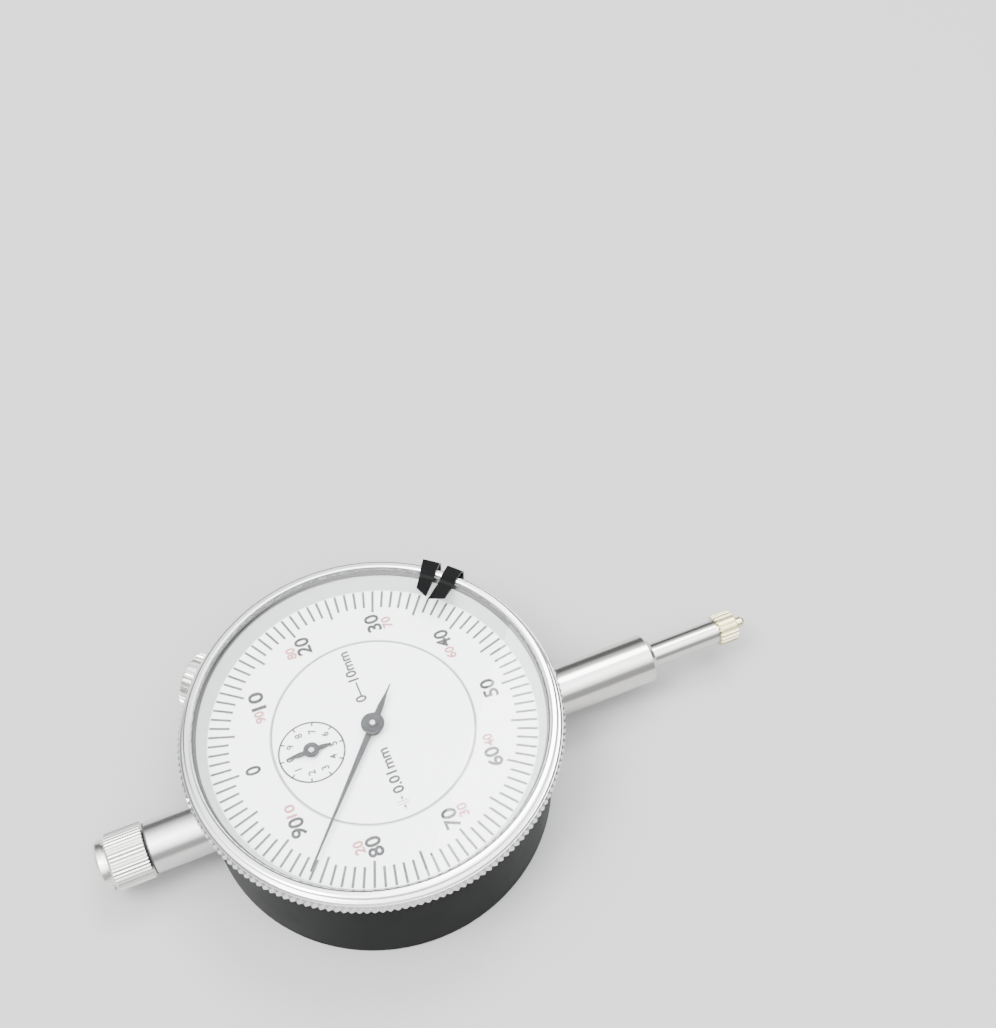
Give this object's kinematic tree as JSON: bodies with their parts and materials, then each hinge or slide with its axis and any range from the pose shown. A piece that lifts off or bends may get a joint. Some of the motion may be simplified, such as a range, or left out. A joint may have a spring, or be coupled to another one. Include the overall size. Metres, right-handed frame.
{
  "type": "dial indicator",
  "caption": "Round dial indicator with clamping stem, sliding spindle, turning bezel with tolerance markers, bezel lock knob and small turn counter.",
  "frame": {"origin": "on the dial's axis, on the flat back face", "axes": "+Z out of the dial, +Y along the spindle towards the lifting cap, so -Y towards the contact point, +X to the right of the dial seen from the front"},
  "size_m": [0.0574, 0.1089, 0.0232],
  "materials": {
    "black_enamel": "satin",
    "cover": "satin",
    "steel_screws": "satin",
    "ground_steel": "polished",
    "satin_steel": "satin",
    "nickel": "polished",
    "contact_nickel": "polished",
    "chrome": "polished",
    "washer": "matte",
    "crystal": "clear",
    "seal": "matte",
    "dial_white": "satin",
    "pointer_grey": "satin",
    "marker_black": "gloss",
    "brass": "satin",
    "arbor_steel": "polished",
    "spring_steel": "polished"
  },
  "bodies": {
    "case": {"case_body": "black_enamel", "back_cover": "cover", "back_cover_screws": "steel_screws", "stem": "ground_steel", "stem_bush": "brass", "upper_sleeve": "satin_steel", "upper_bush": "brass", "lower_plate": "brass", "plate_screws": "steel_screws", "plate_pillars": "brass", "upper_plate": "brass", "pillar_screws": "steel_screws", "pinion_bridge": "brass", "bridge_screws": "steel_screws", "centre_bushes": "brass", "drive_bushes": "brass", "takeup_bushes": "brass", "guide_rail": "arbor_steel", "spring_anchor": "arbor_steel", "return_spring": "spring_steel", "hairspring": "spring_steel", "hairspring_stud": "brass", "dial_centre": "dial_white", "dial_feet": "brass", "bezel_snap_ring": "arbor_steel", "lock_bush": "brass"},
    "spindle_body": {"spindle": "ground_steel", "contact_point": "contact_nickel", "lifting_cap": "nickel", "guide_pin": "arbor_steel", "cap_washer": "washer"},
    "drive_arbor": {"rack_pinion": "arbor_steel", "drive_gear": "brass"},
    "pointer_arbor": {"centre_pinion": "arbor_steel", "main_pointer": "pointer_grey", "pointer_boss": "pointer_grey"},
    "counter_arbor": {"takeup_arbor": "arbor_steel", "takeup_gear": "brass", "hairspring_collet": "brass", "small_pointer": "pointer_grey", "small_pointer_boss": "pointer_grey"},
    "bezel_body": {"bezel": "chrome", "crystal": "crystal", "crystal_seal": "seal", "dial_ring": "dial_white", "dial_retaining_ring": "arbor_steel"},
    "marker_left": {"limit_marker_left": "marker_black"},
    "marker_right": {"limit_marker_right": "marker_black"},
    "brake": {"lock_shoe": "brass"},
    "knob": {"lock_screw": "arbor_steel", "lock_knob": "nickel"}
  },
  "joints": [
    {"name": "pointer_turn", "type": "hinge", "parent": "case", "child": "pointer_arbor", "pos_m": [0, 0, 0.0182], "axis": [0, 0, 1], "range_deg": [-3600.05, 0]},
    {"name": "spindle_slide", "type": "slide", "parent": "case", "child": "spindle_body", "axis": [0, 1, 0], "range_m": [0, 0.01], "stiffness_N_per_m": 60, "springref_m": -0.0125, "deforming": ["return_spring"]},
    {"name": "drive_turn", "type": "hinge", "parent": "case", "child": "drive_arbor", "pos_m": [-0.00309, -0.00918, 0.008], "axis": [0, 0, 1], "range_deg": [0, 360.05]},
    {"name": "counter_turn", "type": "hinge", "parent": "case", "child": "counter_arbor", "pos_m": [0, 0.00969, 0.0182], "axis": [0, 0, 1], "range_deg": [0, 360.05], "deforming": ["hairspring"]},
    {"name": "bezel_turn", "type": "hinge", "parent": "case", "child": "bezel_body", "pos_m": [0, 0, 0.0182], "axis": [0, 0, 1], "continuous": true},
    {"name": "marker_left_turn", "type": "hinge", "parent": "bezel_body", "child": "marker_left", "pos_m": [0, 0, 0.0182], "axis": [0, 0, 1], "range_deg": [0, 150]},
    {"name": "marker_right_turn", "type": "hinge", "parent": "bezel_body", "child": "marker_right", "pos_m": [0, 0, 0.0182], "axis": [0, 0, 1], "range_deg": [-150, 0]},
    {"name": "brake_slide", "type": "slide", "parent": "case", "child": "brake", "axis": [0.6947, 0.7193, 0], "range_m": [0, 0.0005]},
    {"name": "lock_turn", "type": "hinge", "parent": "brake", "child": "knob", "pos_m": [0.01938, 0.02007, 0.0138], "axis": [0.6947, 0.7193, 0], "range_deg": [0, 360.05]}
  ],
  "couplings": [
    {"joint": "pointer_turn", "follows": "spindle_slide", "rad_per_m": -6283.2},
    {"joint": "drive_turn", "follows": "spindle_slide", "rad_per_m": 628.32},
    {"joint": "counter_turn", "follows": "spindle_slide", "rad_per_m": 628.32},
    {"joint": "lock_turn", "follows": "brake_slide", "rad_per_m": 12566}
  ]
}
